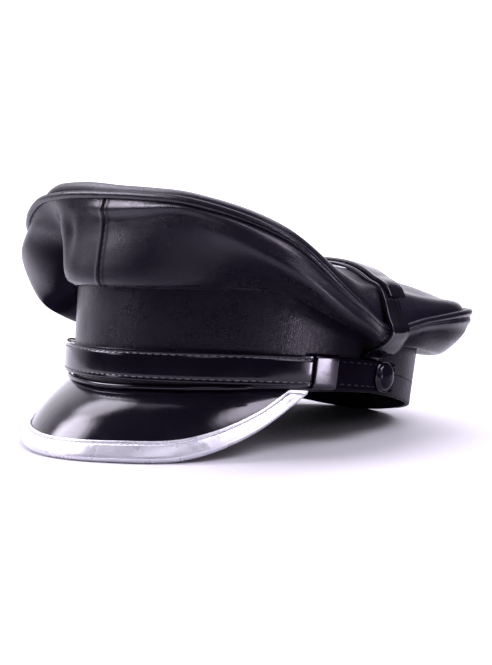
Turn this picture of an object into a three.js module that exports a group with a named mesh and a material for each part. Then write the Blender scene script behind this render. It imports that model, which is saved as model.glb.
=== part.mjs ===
// A leather biker cap with a high front, resting by itself on its peak and the back of its band.
// Millimetres, +X to the peak, +Y to the wearer's left, +Z up.
import * as THREE from 'three';

const { clamp, degToRad, euclideanModulo, lerp, radToDeg, smoothstep } = THREE.MathUtils;

// Band, an oval round a head of about 58 cm, and the strip that binds its rim
const BAND = { halfLength: 103, halfWidth: 86, flare: 0.0005, wall: 2.4 };
const BINDING_HEIGHT = 12;

// Leather and the gap between pieces
const LEATHER = 2;
const GAP = 0.3;

// How the cap lies: its front is tipped up, and the middle of its footprint is the origin.
const PITCH = degToRad(8.3);
const LIFT = 14.2;
const CENTRING = { x: -1.6, y: 1.8 };

// Rim, cut away upwards at both sides, and the band's top, highest beside the front
const RIM = [
  { angle: 0, up: 0, top: 51.2 },
  { angle: 30, up: 2.6, top: 52.6 },
  { angle: 60, up: 7.8, top: 54.4 },
  { angle: 90, up: 11, top: 51.5 },
  { angle: 120, up: 7.4, top: 49 },
  { angle: 150, up: 3.2, top: 47.5 },
  { angle: 180, up: 0, top: 47 },
];

// Crown sections, a row for each lobe or pinch: [out from the band, up from the rim's plane].
// The right side (angles below 0) hangs lower than the left. The strap pinches both at 86 degrees.
const CROWN = [
  { angle: -150, edge: [24, 65], belly: [22, 52], tuck: [11, 38] },
  { angle: -122, edge: [25, 61], belly: [26, 47], tuck: [14, 36] },
  { angle: -102, edge: [15, 53], belly: [18, 44], tuck: [11, 35] },
  { angle: -86, edge: [13, 47], belly: [17, 40], tuck: [11, 34] },
  { angle: -68, edge: [27, 65], belly: [34, 51], tuck: [21, 36] },
  { angle: -53, edge: [36, 82], belly: [41, 67], tuck: [24, 44] },
  { angle: -43, edge: [31.7, 88.8], belly: [27, 75], tuck: [7, 50] },
  { angle: -33, edge: [25, 94.8], belly: [6, 77], tuck: [2, 54] },
  { angle: -20, edge: [16.2, 96.5], belly: [12, 79], tuck: [10, 56.5] },
  { angle: -8, edge: [10.6, 96], belly: [9, 79], tuck: [9, 55] },
  { angle: 0, edge: [9, 95.2], belly: [8, 78], tuck: [8.5, 54.5] },
  { angle: 15, edge: [12, 93.4], belly: [11.5, 79], tuck: [8.5, 55] },
  { angle: 30, edge: [20, 90.3], belly: [20.5, 79], tuck: [9, 56] },
  { angle: 50, edge: [32, 77.2], belly: [36, 62.5], tuck: [11, 56.5] },
  { angle: 68, edge: [24, 55], belly: [29, 45], tuck: [13, 44.5] },
  { angle: 86, edge: [12, 43.8], belly: [15, 38], tuck: [8, 36] },
  { angle: 102, edge: [14, 51], belly: [16, 44], tuck: [10, 37] },
  { angle: 122, edge: [25, 60], belly: [24, 48], tuck: [12, 36] },
  { angle: 150, edge: [24, 65], belly: [22, 52], tuck: [10, 37] },
  { angle: 180, edge: [18, 65], belly: [16, 53], tuck: [8, 40] },
];
const PIPING_RADIUS = 2.1;

// Top panel: it falls from its middle to the piping, the later the fuller it is, with a soft roll
// just inside the piping
const TOP_MIDDLE = new THREE.Vector3(0, 0, 76);
const TOP = [
  { angle: -150, fullness: 3, roll: 3 },
  { angle: -115, fullness: 4, roll: 2 },
  { angle: -88, fullness: 6, roll: 3.5 },
  { angle: -50, fullness: 3, roll: 6 },
  { angle: -32, fullness: 3, roll: 12 },
  { angle: -15, fullness: 3, roll: 11.5 },
  { angle: 0, fullness: 3, roll: 10 },
  { angle: 30, fullness: 3, roll: 7.8 },
  { angle: 60, fullness: 3, roll: 6 },
  { angle: 88, fullness: 7, roll: 4 },
  { angle: 115, fullness: 4.5, roll: 2.2 },
  { angle: 150, fullness: 3, roll: 2.5 },
];
const ROLL = { inset: 7.5, width: 5.5 };

// Peak: how far its edge lies out from the rim and below it
const PEAK = [
  { angle: 0, reach: 30.5, drop: 33 },
  { angle: 16.5, reach: 26.5, drop: 32.3 },
  { angle: 33, reach: 20.2, drop: 30.3 },
  { angle: 49.5, reach: 10, drop: 19.5 },
  { angle: 66, reach: 0.4, drop: 1 },
];
const PEAK_SHEET = { end: 65.5, thickness: 2.2, rootUp: 1.6, camber: 0.08 };
const TRIM = { width: 9.5, wall: 1, rounding: 0.5, underFrom: 6.2, least: 1.5 };
const WELT = { from: -38, to: 50, radius: 1.3, out: 1.9, up: 2.3 };

// Chin straps, the loops that keep them together, and the buttons that hold them
const STRAP = { width: 15, upAtFront: 13.2, upAtSides: 20, pastButton: 6 };
const STRAP_ENDS = { outer: 65, inner: -52 };
const OUTER_STEPS_UP = { from: -65, to: -56 };
const STRAPS_STEP_OUT = { from: 76, to: 83 };
const KEEPERS = { left: { angle: 69.5, width: 13 }, right: { angle: -44, width: 6 } };
const KEEPER_WALL = 0.8;
const BUTTON = { angle: 91, radius: 8, height: 3.6 };

// Crown strap: its two halves overlap on the top. Ends are distances past the middle.
const CROWN_STRAP = { width: 14, angle: 88, spread: 3.9, thickness: 1.8, inset: 3, steps: 24 };
const CROWN_STRAP_ENDS = { lower: 22, upper: 91 };
const UPPER_STEPS_UP = { from: 25, to: 38 };

// Its way from the button to the piping, off the crown's own lines: share of the line's reach, then
// millimetres out and up, and how much of the turn from the button's angle is done there
const CROWN_STRAP_FOLDS = [
  { line: 'tuck', share: 0.5, out: 0, up: -3.4, turned: 0.5 },
  { line: 'tuck', share: 1, out: 1, up: -2, turned: 1 },
  { line: 'belly', share: 1, out: -0.5, up: -5, turned: 1 },
  { line: 'belly', share: 1, out: 1, up: 0, turned: 1 },
  { line: 'edge', share: 1, out: 2.9, up: 0.5, turned: 1 },
  { line: 'edge', share: 1, out: 1.2, up: 2.9, turned: 1 },
];

// How finely the soft pieces are cut into flat faces
const AROUND = 72;
const SIDE_STEPS = 9;
const TOP_SHARES = [0.3, 0.58, 0.76, 0.86, 0.91, 0.95];

const leather = new THREE.MeshStandardMaterial({ color: 0x17151a, roughness: 0.45, metalness: 0 });
const patent = new THREE.MeshStandardMaterial({ color: 0x09080b, roughness: 0.12, metalness: 0 });
const silver = new THREE.MeshStandardMaterial({ color: 0xc9c8d0, roughness: 0.28, metalness: 0.9 });

// Smooth curve through values at rising keys. With a period, it closes on itself.
function curve(keys, values, at, period = 0) {
  let k = keys;
  let v = values;
  let x = at;
  if (period) {
    const last = keys.length - 1;
    k = [keys[last] - period, ...keys, keys[0] + period, keys[1] + period];
    v = [values[last], ...values, values[0], values[1]];
    x = keys[0] + euclideanModulo(at - keys[0], period);
  }
  const slope = (i) => (v[i + 1] - v[i]) / (k[i + 1] - k[i]);
  const tangent = (i) => {
    if (i === 0) return slope(0);
    if (i === k.length - 1) return slope(i - 1);
    const before = k[i] - k[i - 1];
    const after = k[i + 1] - k[i];
    return (slope(i - 1) * after + slope(i) * before) / (before + after);
  };
  let i = 0;
  while (i < k.length - 2 && x >= k[i + 1]) i += 1;
  const step = k[i + 1] - k[i];
  const t = (x - k[i]) / step;
  const left = (1 - t) * (1 - t);
  const right = t * t;
  return v[i] * (1 + 2 * t) * left + tangent(i) * step * t * left
    + v[i + 1] * (3 - 2 * t) * right + tangent(i + 1) * step * (t - 1) * right;
}

// The same curve for a table that holds one half of something alike on both sides
function mirrored(rows, column, angle, period = 0) {
  const others = rows.filter((row) => row.angle > 0 && row.angle < 180).reverse();
  return curve(
    [...others.map((row) => -row.angle), ...rows.map((row) => row.angle)],
    [...others, ...rows].map((row) => row[column]),
    angle,
    period,
  );
}

const rimUp = (angle) => mirrored(RIM, 'up', angle, 360);
const bandTop = (angle) => mirrored(RIM, 'top', angle, 360);

// Point beside the band: angle round it, distance out from its outer face, height above the rim's plane
function beside(angle, out, up) {
  const [c, s] = [Math.cos(degToRad(angle)), Math.sin(degToRad(angle))];
  const grown = 1 + BAND.flare * clamp(up, 0, 60);
  const normal = new THREE.Vector2(c / BAND.halfLength, s / BAND.halfWidth).normalize();
  return new THREE.Vector3(
    BAND.halfLength * grown * c + normal.x * out,
    BAND.halfWidth * grown * s + normal.y * out,
    up,
  );
}

// Lays a point of the upright cap down as the cap rests, pressed flat where it meets the surface.
function rest({ x, y, z }) {
  return new THREE.Vector3(
    x * Math.cos(PITCH) - z * Math.sin(PITCH) + CENTRING.x,
    y + CENTRING.y,
    Math.max(0, x * Math.sin(PITCH) + z * Math.cos(PITCH) + LIFT),
  );
}

// Closed body from points and triangles
function body(name, points, faces, material) {
  const geometry = new THREE.BufferGeometry();
  const laid = points.flatMap((point) => rest(point).toArray());
  geometry.setAttribute('position', new THREE.Float32BufferAttribute(laid, 3));
  geometry.setIndex(faces.flat());
  geometry.computeVertexNormals();
  const mesh = new THREE.Mesh(geometry, material);
  mesh.name = name;
  return mesh;
}

const quad = (a, b, c, d) => [[a, b, c], [a, c, d]];

// Sheet with a thickness between rows of outer points and rows of inner points, joined at its borders.
// Rows run round the cap and points run down it. A ring of rows closes on itself.
function sheet(name, outer, inner, material, ring = false) {
  const rows = outer.length;
  const across = outer[0].length;
  const last = across - 1;
  const o = (i, j) => (i % rows) * across + j;
  const n = (i, j) => o(i, j) + rows * across;
  const faces = [];
  for (let i = 0; i < (ring ? rows : rows - 1); i += 1) {
    for (let j = 0; j < last; j += 1) {
      faces.push(...quad(o(i, j), o(i, j + 1), o(i + 1, j + 1), o(i + 1, j)));
      faces.push(...quad(n(i, j), n(i + 1, j), n(i + 1, j + 1), n(i, j + 1)));
    }
    faces.push(...quad(o(i, 0), o(i + 1, 0), n(i + 1, 0), n(i, 0)));
    faces.push(...quad(o(i, last), n(i, last), n(i + 1, last), o(i + 1, last)));
  }
  if (!ring) {
    for (let j = 0; j < last; j += 1) {
      faces.push(...quad(o(0, j), n(0, j), n(0, j + 1), o(0, j + 1)));
      faces.push(...quad(o(rows - 1, j), o(rows - 1, j + 1), n(rows - 1, j + 1), n(rows - 1, j)));
    }
  }
  return body(name, [...outer.flat(), ...inner.flat()], faces, material);
}

// Round cord beside the band, through section circles round centre(angle) = [out, up]
function cord(name, angles, centre, radius, sides, material, ring = false) {
  const points = angles.flatMap((angle) => Array.from({ length: sides }, (_, j) => {
    const turn = 2 * Math.PI * j / sides;
    const [out, up] = centre(angle);
    return beside(angle, out + radius * Math.cos(turn), up + radius * Math.sin(turn));
  }));
  const rows = angles.length;
  const at = (i, j) => (i % rows) * sides + (j % sides);
  const faces = [];
  for (let i = 0; i < (ring ? rows : rows - 1); i += 1) {
    for (let j = 0; j < sides; j += 1) {
      faces.push(...quad(at(i, j), at(i + 1, j), at(i + 1, j + 1), at(i, j + 1)));
    }
  }
  if (!ring) {
    for (let j = 1; j < sides - 1; j += 1) {
      faces.push([at(0, 0), at(0, j), at(0, j + 1)]);
      faces.push([at(rows - 1, 0), at(rows - 1, j + 1), at(rows - 1, j)]);
    }
  }
  return body(name, points, faces, material);
}

const steps = (start, end, count) => Array.from({ length: count + 1 }, (_, i) => lerp(start, end, i / count));
const allRound = steps(0, 360, AROUND).slice(0, AROUND);

// Moves a line of [out, up] pairs sideways, to its left as it runs.
function offsetLine(line, distance) {
  return line.map(([out, up], i) => {
    const before = line[Math.max(0, i - 1)];
    const after = line[Math.min(line.length - 1, i + 1)];
    const along = new THREE.Vector2(after[0] - before[0], after[1] - before[1]).normalize();
    return [out - along.y * distance, up + along.x * distance];
  });
}

// Crown line of one name at one angle, as [out, up]
const crownPoint = (line, angle) => [0, 1].map((part) => curve(
  CROWN.map((row) => row.angle),
  CROWN.map((row) => row[line][part]),
  angle,
  360,
));
const crownEdge = (angle) => beside(angle, ...crownPoint('edge', angle));

// Outer line of a crown side, from just under the piping, round the belly and tuck, to the band
function sideLine(angle) {
  const [edge, belly, tuck] = ['edge', 'belly', 'tuck'].map((line) => crownPoint(line, angle));
  const stops = [edge, belly, tuck, [GAP, bandTop(angle) + GAP]];
  const start = (PIPING_RADIUS + GAP) / Math.hypot(belly[0] - edge[0], belly[1] - edge[1]);
  return steps(start, stops.length - 1, SIDE_STEPS).map((along) => [0, 1].map((part) => curve(
    stops.map((_, i) => i),
    stops.map((stop) => stop[part]),
    along,
  )));
}

function crownSide(name, start, end) {
  const angles = steps(start, end, AROUND / 2);
  const lines = angles.map(sideLine);
  const laid = (line, i) => line.map(([out, up]) => beside(angles[i], out, up));
  return sheet(name, lines.map(laid), lines.map((line) => offsetLine(line, -LEATHER)).map(laid), leather);
}

const crownPiping = () =>
  cord('crown_piping', allRound, (angle) => crownPoint('edge', angle), PIPING_RADIUS, 8, leather, true);

const planDistance = (a, b) => Math.hypot(a.x - b.x, a.y - b.y);

// Upper face of the top panel: share 0 at its middle, 1 at the piping
function topPoint(angle, share) {
  const edge = crownEdge(angle);
  const inset = (1 - share) * planDistance(edge, TOP_MIDDLE);
  const [fullness, roll] = ['fullness', 'roll'].map((column) => curve(
    TOP.map((row) => row.angle),
    TOP.map((row) => row[column]),
    angle,
    360,
  ));
  const raised = roll * Math.exp(-(((inset - ROLL.inset) / ROLL.width) ** 2));
  const point = TOP_MIDDLE.clone().lerp(edge, share);
  return point.setZ(lerp(TOP_MIDDLE.z, edge.z, share ** fullness) + raised);
}

function crownTop() {
  const lowered = (point, by) => point.setZ(point.z - by);
  const face = (by) => allRound.map((angle) => {
    const outermost = 1 - (PIPING_RADIUS + GAP) / planDistance(crownEdge(angle), TOP_MIDDLE);
    return [...TOP_SHARES, outermost].map((share) => lowered(topPoint(angle, share), by));
  });
  const rings = TOP_SHARES.length + 1;
  const last = rings - 1;
  const middle = 2 * AROUND * rings;
  const upper = (i, j) => (i % AROUND) * rings + j;
  const lower = (i, j) => upper(i, j) + AROUND * rings;
  const faces = [];
  for (let i = 0; i < AROUND; i += 1) {
    faces.push([middle, upper(i, 0), upper(i + 1, 0)], [middle + 1, lower(i + 1, 0), lower(i, 0)]);
    for (let j = 0; j < last; j += 1) {
      faces.push(...quad(upper(i, j), upper(i, j + 1), upper(i + 1, j + 1), upper(i + 1, j)));
      faces.push(...quad(lower(i, j), lower(i + 1, j), lower(i + 1, j + 1), lower(i, j + 1)));
    }
    faces.push(...quad(upper(i, last), lower(i, last), lower(i + 1, last), upper(i + 1, last)));
  }
  const middles = [topPoint(0, 0), lowered(topPoint(0, 0), LEATHER)];
  return body('crown_top', [...face(0).flat(), ...face(LEATHER).flat(), ...middles], faces, leather);
}

// Hoop of the band's own shape between two heights
function hoop(name, upper, lower) {
  const face = (out) => allRound.map((angle) => steps(upper(angle), lower(angle), 2)
    .map((up) => beside(angle, out, up)));
  return sheet(name, face(0), face(-BAND.wall), leather, true);
}
const band = () => hoop('band', bandTop, (angle) => rimUp(angle) + BINDING_HEIGHT + GAP);
const rimBinding = () => hoop('rim_binding', (angle) => rimUp(angle) + BINDING_HEIGHT, rimUp);

// Line down the peak at one angle. places(length) gives [distance from the rim, height off its face].
function peakLine(angle, places) {
  const { rootUp, camber } = PEAK_SHEET;
  const reach = mirrored(PEAK, 'reach', angle);
  const drop = mirrored(PEAK, 'drop', angle) + rootUp;
  const length = Math.hypot(reach, drop);
  const at = (share) => {
    const full = camber * Math.sin(Math.PI * clamp(share, 0, 1));
    return [GAP + reach * share + full * drop, rimUp(angle) + rootUp - drop * share + full * reach];
  };
  return places(length).map(([distance, raised]) => {
    const share = distance / length;
    const [before, after] = [at(share - 0.02), at(share + 0.02)];
    const slope = new THREE.Vector2(after[0] - before[0], after[1] - before[1]).normalize();
    const [out, up] = at(share);
    return beside(angle, Math.max(GAP, out - slope.y * raised), up + slope.x * raised);
  });
}
const peakAngles = steps(-PEAK_SHEET.end, PEAK_SHEET.end, 32);

function peak() {
  const face = (raised) => peakAngles.map((angle) => peakLine(angle, (length) =>
    steps(0, length - TRIM.wall - GAP, 5).map((distance) => [distance, raised])));
  return sheet('peak', face(0), face(-PEAK_SHEET.thickness), patent);
}

// Silver binding folded round the peak's edge, open towards the rim
function peakTrim() {
  const upper = GAP + TRIM.wall;
  const under = -PEAK_SHEET.thickness - upper;
  const outer = (length) => {
    const start = Math.max(length - TRIM.width, TRIM.wall);
    const startUnder = Math.max(length - TRIM.width, Math.min(length - TRIM.least, TRIM.underFrom));
    return [
      [start, upper],
      [(start + length) / 2, upper],
      [length - TRIM.rounding, upper - TRIM.rounding / 2],
      [length, -PEAK_SHEET.thickness / 2],
      [length - TRIM.rounding, under + TRIM.rounding / 2],
      [(startUnder + length) / 2, under],
      [startUnder, under],
    ];
  };
  const inner = (length) => outer(length).map(([distance, raised]) => [
    Math.min(distance, length - TRIM.wall),
    clamp(raised, -PEAK_SHEET.thickness - GAP, GAP),
  ]);
  const lines = (section) => peakAngles.map((angle) => peakLine(angle, section));
  return sheet('peak_trim', lines(outer), lines(inner), silver);
}

const peakWelt = () => cord('peak_welt', steps(WELT.from, WELT.to, 28),
  (angle) => [WELT.out, rimUp(angle) + WELT.up], WELT.radius, 7, patent);

// Chin straps lie on the band, and step out where the crown strap ends behind them.
const strapUp = (angle) => lerp(STRAP.upAtFront, STRAP.upAtSides, Math.sin(degToRad(angle)) ** 2);
const onBand = (angle) => GAP
  + (LEATHER + GAP) * smoothstep(Math.abs(angle), STRAPS_STEP_OUT.from, STRAPS_STEP_OUT.to);
const onInnerStrap = (angle) => (angle < OUTER_STEPS_UP.from ? onBand(angle)
  : lerp(GAP, 2 * GAP + LEATHER, smoothstep(angle, OUTER_STEPS_UP.from, OUTER_STEPS_UP.to)));

function chinStrap(name, start, end, out) {
  const angles = steps(start, end, 44);
  const face = (raised) => angles.map((angle) => [STRAP.width / 2, -STRAP.width / 2]
    .map((side) => beside(angle, out(angle) + raised, strapUp(angle) + side)));
  return sheet(name, face(LEATHER), face(0), patent);
}
const chinStraps = () => [
  chinStrap('chin_strap_inner', STRAP_ENDS.inner, BUTTON.angle + STRAP.pastButton, onBand),
  chinStrap('chin_strap_outer', -BUTTON.angle - STRAP.pastButton, STRAP_ENDS.outer, onInnerStrap),
];

// Keeper: a flat loop over both straps, its ends at the band
function keeper(name, { angle, width }) {
  const half = radToDeg(width / 2 / BAND.halfLength);
  const top = STRAP.width / 2 + GAP;
  const over = 3 * GAP + 2 * LEATHER;
  const face = (wall) => steps(angle - half, angle + half, 3).map((turn) => [
    [GAP, top + wall], [over + wall, top + wall], [over + wall, -top - wall], [GAP, -top - wall],
  ].map(([out, up]) => beside(turn, out, strapUp(turn) + up)));
  return sheet(name, face(KEEPER_WALL), face(0), patent);
}

// Domed button, its back on the straps
function button(name, angle) {
  const profile = [
    [0, 0], [1, 0], [1, 0.28], [0.93, 0.42], [0.75, 0.72], [0.4, 0.94], [0, 1],
  ].map(([across, high]) => new THREE.Vector2(BUTTON.radius * across, BUTTON.height * high));
  const mesh = new THREE.Mesh(new THREE.LatheGeometry(profile, 16), patent);
  const back = 4 * GAP + 2 * LEATHER;
  const seat = rest(beside(angle, back, strapUp(angle)));
  const facing = rest(beside(angle, back + 1, strapUp(angle))).sub(seat).normalize();
  mesh.position.copy(seat);
  mesh.quaternion.setFromUnitVectors(new THREE.Vector3(0, 1, 0), facing);
  mesh.name = name;
  return mesh;
}

// Height of the top panel over a point in plan, by halving the angles that its ray can lie at
function topHeight(x, y) {
  const heading = (point) => Math.atan2(point.y - TOP_MIDDLE.y, point.x - TOP_MIDDLE.x);
  const wanted = Math.atan2(y - TOP_MIDDLE.y, x - TOP_MIDDLE.x);
  let low = y >= 0 ? 0 : -180;
  let high = low + 180;
  for (let halving = 0; halving < 30; halving += 1) {
    const middle = (low + high) / 2;
    if (heading(crownEdge(middle)) < wanted) low = middle;
    else high = middle;
  }
  return topPoint(low, planDistance({ x, y }, TOP_MIDDLE) / planDistance(crownEdge(low), TOP_MIDDLE)).z;
}

// Ribbon over a grid of points, lifted off them along the normal there, a lift for each row
function ribbon(name, rows, lifts, thickness, material) {
  const raised = (extra) => rows.map((row, i) => row.map((point, j) => {
    const ahead = rows[Math.min(i + 1, rows.length - 1)][j].clone().sub(rows[Math.max(i - 1, 0)][j]);
    const beyond = row[Math.min(j + 1, row.length - 1)].clone().sub(row[Math.max(j - 1, 0)]);
    return point.clone().addScaledVector(beyond.cross(ahead).normalize(), lifts[i] + extra);
  }));
  return sheet(name, raised(thickness), raised(0), material);
}

// Half of the crown strap, of one side (1 left, -1 right): from behind the button, under the lobe,
// over the piping and across the top to past its middle, lift(distance from the middle) off the top
function crownStrap(name, side, pastMiddle, lift) {
  const places = [-1, 0, 1];
  const { angle, spread, width, thickness, inset } = CROWN_STRAP;
  const columns = places.map((place) => {
    const low = side * (BUTTON.angle + place * spread);
    const high = side * (angle + place * spread);
    const folds = CROWN_STRAP_FOLDS.map((fold) => {
      const [out, up] = crownPoint(fold.line, high);
      return beside(lerp(low, high, fold.turned), out * fold.share + fold.out, up + fold.up);
    });
    const behind = [-2, STRAP.width / 2 + 2].map((up) => beside(low, GAP, strapUp(low) + up));
    return [...behind, ...folds];
  });
  const rows = columns[0].map((_, i) => columns.map((column) => column[i]));
  const lifts = rows.map(() => 0);
  const crossing = crownEdge(side * angle);
  const wide = Math.abs(crossing.y);
  steps(wide - inset, -pastMiddle, CROWN_STRAP.steps).forEach((across) => {
    const middle = lerp(TOP_MIDDLE.x, crossing.x, clamp(across / wide, 0, 1));
    rows.push(places.map((place) => {
      const x = middle - place * width / 2;
      return new THREE.Vector3(x, side * across, topHeight(x, side * across));
    }));
    lifts.push(lift(across));
  });
  const facingOut = side > 0 ? rows : rows.map((row) => [...row].reverse());
  return ribbon(name, facingOut, lifts, thickness, patent);
}
const onTop = 4 * GAP;
const onLowerHalf = onTop + CROWN_STRAP.thickness + GAP;
const crownStraps = () => [
  crownStrap('crown_strap_lower', 1, CROWN_STRAP_ENDS.lower, () => onTop),
  crownStrap('crown_strap_upper', -1, CROWN_STRAP_ENDS.upper,
    (across) => lerp(onLowerHalf, onTop, smoothstep(across, UPPER_STEPS_UP.from, UPPER_STEPS_UP.to))),
];

// The crown's sides meet in seams at the front and the back, half a gap from each.
const SEAM = radToDeg(GAP / 2 / BAND.halfLength);

const group = new THREE.Group();
group.add(
  crownTop(),
  crownPiping(),
  crownSide('crown_side_left', SEAM, 180 - SEAM),
  crownSide('crown_side_right', 180 + SEAM, 360 - SEAM),
  ...crownStraps(),
  band(),
  rimBinding(),
  peak(),
  peakTrim(),
  peakWelt(),
  ...chinStraps(),
  keeper('keeper_left', KEEPERS.left),
  keeper('keeper_right', KEEPERS.right),
  button('button_left', BUTTON.angle),
  button('button_right', -BUTTON.angle),
);
export default group;
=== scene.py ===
# A leather biker cap with a high front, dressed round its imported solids. The cap rests by itself on
# the front of its peak and the back of its rim. Shapes are worked out in millimetres on the upright
# cap, then laid down as it rests, in metres: +X to the peak, +Y to the wearer's left, +Z up.
# Angles go round the band in degrees: 0 at the front, 90 at the wearer's left.
import math

import bmesh
import bpy
import numpy as np
from mathutils import Matrix, Vector


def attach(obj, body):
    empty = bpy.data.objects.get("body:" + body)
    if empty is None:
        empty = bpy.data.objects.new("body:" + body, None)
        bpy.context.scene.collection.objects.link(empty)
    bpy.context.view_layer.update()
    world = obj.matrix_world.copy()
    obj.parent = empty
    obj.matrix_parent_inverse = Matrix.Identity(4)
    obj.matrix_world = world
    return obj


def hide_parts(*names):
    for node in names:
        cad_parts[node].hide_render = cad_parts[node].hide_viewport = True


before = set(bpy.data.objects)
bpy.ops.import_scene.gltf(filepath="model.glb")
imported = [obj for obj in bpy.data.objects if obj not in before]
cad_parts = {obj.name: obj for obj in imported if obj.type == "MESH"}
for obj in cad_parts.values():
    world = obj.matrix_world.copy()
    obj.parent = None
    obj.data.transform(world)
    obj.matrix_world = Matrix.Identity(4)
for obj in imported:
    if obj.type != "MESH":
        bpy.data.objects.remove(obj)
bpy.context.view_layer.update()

MM = 0.001

# Band, the strip that binds its rim, leather and piping
BAND = dict(half_length=103, half_width=86, flare=0.0005, wall=2.4)
BINDING_HEIGHT = 12
LEATHER = 2
GAP = 0.3
PIPING_RADIUS = 2.1

# How the cap lies: its front is tipped up, and the middle of its footprint is the origin.
PITCH = math.radians(8.3)
LIFT = 14.2
CENTRING = (-1.6, 1.8)

# Rim, cut away upwards at both sides, and the band's top, highest beside the front
RIM = dict(
    angle=(0, 30, 60, 90, 120, 150, 180),
    up=(0, 2.6, 7.8, 11, 7.4, 3.2, 0),
    top=(51.2, 52.6, 54.4, 51.5, 49, 47.5, 47),
)

# Crown sections, a row for each lobe or pinch: angle, then out from the band and up from the rim's
# plane for the edge, the belly and the tuck
CROWN = np.array((
    (-150, 24, 65, 22, 52, 11, 38),
    (-122, 25, 61, 26, 47, 14, 36),
    (-102, 15, 53, 18, 44, 11, 35),
    (-86, 13, 47, 17, 40, 11, 34),
    (-68, 27, 65, 34, 51, 21, 36),
    (-53, 36, 82, 41, 67, 24, 44),
    (-43, 31.7, 88.8, 27, 75, 7, 50),
    (-33, 25, 94.8, 6, 77, 2, 54),
    (-20, 16.2, 96.5, 12, 79, 10, 56.5),
    (-8, 10.6, 96, 9, 79, 9, 55),
    (0, 9, 95.2, 8, 78, 8.5, 54.5),
    (15, 12, 93.4, 11.5, 79, 8.5, 55),
    (30, 20, 90.3, 20.5, 79, 9, 56),
    (50, 32, 77.2, 36, 62.5, 11, 56.5),
    (68, 24, 55, 29, 45, 13, 44.5),
    (86, 12, 43.8, 15, 38, 8, 36),
    (102, 14, 51, 16, 44, 10, 37),
    (122, 25, 60, 24, 48, 12, 36),
    (150, 24, 65, 22, 52, 10, 37),
    (180, 18, 65, 16, 53, 8, 40),
))
EDGE, BELLY, TUCK = 1, 3, 5

# Top panel: it falls from its middle to the piping, the later the fuller it is, with a soft roll
# just inside the piping
TOP_MIDDLE = np.array((0.0, 0.0, 76.0))
TOP = dict(
    angle=(-150, -115, -88, -50, -32, -15, 0, 30, 60, 88, 115, 150),
    fullness=(3, 4, 6, 3, 3, 3, 3, 3, 3, 7, 4.5, 3),
    roll=(3, 2, 3.5, 6, 12, 11.5, 10, 7.8, 6, 4, 2.2, 2.5),
)
ROLL = dict(inset=7.5, width=5.5)

# Peak: how far its edge lies out from the rim and below it
PEAK = dict(
    angle=(0, 16.5, 33, 49.5, 66),
    reach=(30.5, 26.5, 20.2, 10, 0.4),
    drop=(33, 32.3, 30.3, 19.5, 1),
)
PEAK_SHEET = dict(end=65.5, thickness=2.2, root_up=1.6, camber=0.08)
TRIM = dict(width=9.5, wall=1, under_from=6.2, least=1.5, stitch_inset=1.7)
WELT = dict(start=-38, end=50, radius=1.3, out=1.9, up=2.3)

# Chin straps, their loops (angle and width of each) and the buttons that hold them
STRAP = dict(width=15, up_at_front=13.2, up_at_sides=20, past_button=6, stitch_inset=1.9)
STRAP_ENDS = dict(outer=65.6, inner=-52)
STRAP_ENDS_ROUNDED = 0.5
OUTER_STEPS_UP = (-65, -56)
STRAPS_STEP_OUT = (76, 83)
KEEPERS = dict(left=(69.5, 13), right=(-44, 6))
KEEPER = dict(wall=0.8, radius=1.1)
BUTTON = dict(angle=91, radius=8, height=3.6)

# Crown strap: its two halves overlap on the top. Ends are distances past the middle.
CROWN_STRAP = dict(
    width=14, angle=88, low_angle=87.5, spread=3.9, thickness=1.8, inset=3, channel_inset=1.7,
)
CROWN_STRAP_ENDS = dict(lower=22, upper=94)
UPPER_STEPS_UP = (25, 38)

# Its way from the button to the piping, off the crown's own lines: line, share of the line's reach,
# millimetres out and up, and how much of the turn from the button's angle is done there
CROWN_STRAP_FOLDS = (
    (TUCK, 0.5, 0, -3.6, 0.35),
    (TUCK, 1, 1.2, -1.6, 0.65),
    (BELLY, 1, -1.4, 0.2, 0.9),
    (BELLY, 1, 0.4, 3.2, 1),
    (EDGE, 1, 2.9, 0.5, 1),
    (EDGE, 1, 1.2, 2.9, 1),
)

# Folds, dents and swellings of the crown's side: millimetres out, then the middle and the width of
# each, round the cap and down the side (0 the edge, 1 the belly, 2 the tuck, 3 the band)
SIDE_FOLDS = (
    (3.0, -25, 5, 0.95, 0.4),
    (3.4, -36, 5, 0.66, 0.36),
    (-3.0, -28, 4, 2.1, 0.5),
    (-4.5, 88, 6, 1.0, 0.55),
    (-4.5, -88, 6, 1.0, 0.55),
    (-1.0, -16, 2.2, 1.15, 0.4),
    (-3.5, -36, 3.5, 1.5, 0.7),
    (2.5, -45, 4.5, 1.3, 0.6),
)
SIDE_UNEVENNESS = dict(seed=5, size=42, height=0.35)
TOP_UNEVENNESS = dict(seed=9, size=60, height=0.5)
TOP_GROOVE = dict(depth=3.2, inset=1.8, width=1.9)
MM_A_DEGREE = 1.75

# Stitches: pitch, length and thickness
STRAP_STITCHES = (3.9, 2.7, 0.62)
PEAK_STITCHES = (2.9, 2.1, 0.5)
SEAM_STITCHES = (3.2, 2.2, 0.75)

# View: the photo's angle, with the middle of its frame on aim
VIEW = dict(azimuth=42.8, elevation=3.8, distance=0.6, lens=57.55, aim=(-0.0022, 0.0022, 0.0524))

# Soft lights in the surround: turned from the camera's side, elevation, degrees to where it starts
# to fade, degrees to where it ends, strength
SOFT_LIGHTS = (
    (57, 52, 8, 21, 14.0),
    (-104, 37, 7, 20, 18.0),
    (165, 62, 12, 32, 7.0),
    (-132, 50, 5, 14, 8.0),
    (-8, 37, 3, 13, 2.5),
    (50, 24, 5, 14, 5.0),
    (-80, 18, 3, 8, 7.0),
)


def between(t, start, leaving, end, arriving):
    """Smooth way from a start at t 0 to an end at t 1, with the slopes there"""
    return (
        start * (1 + 2 * t) * (1 - t) ** 2
        + leaving * t * (1 - t) ** 2
        + end * (3 - 2 * t) * t ** 2
        + arriving * (t - 1) * t ** 2
    )


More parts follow.
